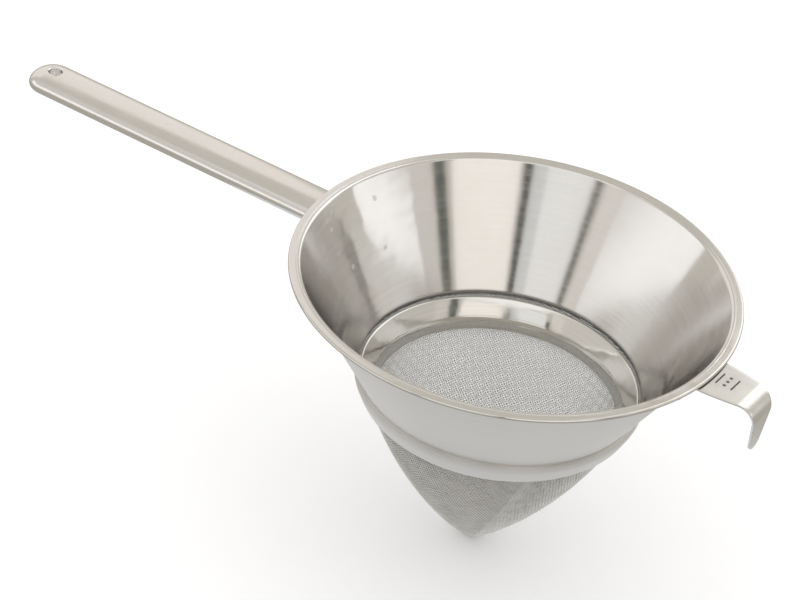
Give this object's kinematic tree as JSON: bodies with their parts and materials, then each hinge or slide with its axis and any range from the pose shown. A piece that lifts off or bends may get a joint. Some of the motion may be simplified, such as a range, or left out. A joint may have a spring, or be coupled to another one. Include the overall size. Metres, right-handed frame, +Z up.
{
  "type": "double sieve strainer",
  "caption": "Steel funnel strainer with a flat rim, double woven cone sieve held by a clamp ring, hollow oval handle and rest hook.",
  "frame": {"origin": "on the bowl's axis, half-way up the outer edge of the flat rim, where the strainer hangs in a pot's mouth", "axes": "+Z up along the bowl's axis, +X out through the hook, the handle runs along -X"},
  "size_m": [0.4369, 0.2188, 0.1611],
  "materials": {
    "bowl_steel": "spun, satin outside and finely brushed inside",
    "ring_steel": "polished",
    "support_wire": "plain woven wire",
    "fine_wire": "plain woven wire",
    "handle_steel": "satin",
    "hook_steel": "satin with a small etched mark"
  },
  "bodies": {
    "root": {"bowl_shell": "bowl_steel", "clamp_ring": "ring_steel", "sieve_support": "support_wire", "sieve_fine": "fine_wire", "handle_tube": "handle_steel", "handle_plate": "handle_steel", "hook_strap": "hook_steel"}
  },
  "joints": []
}
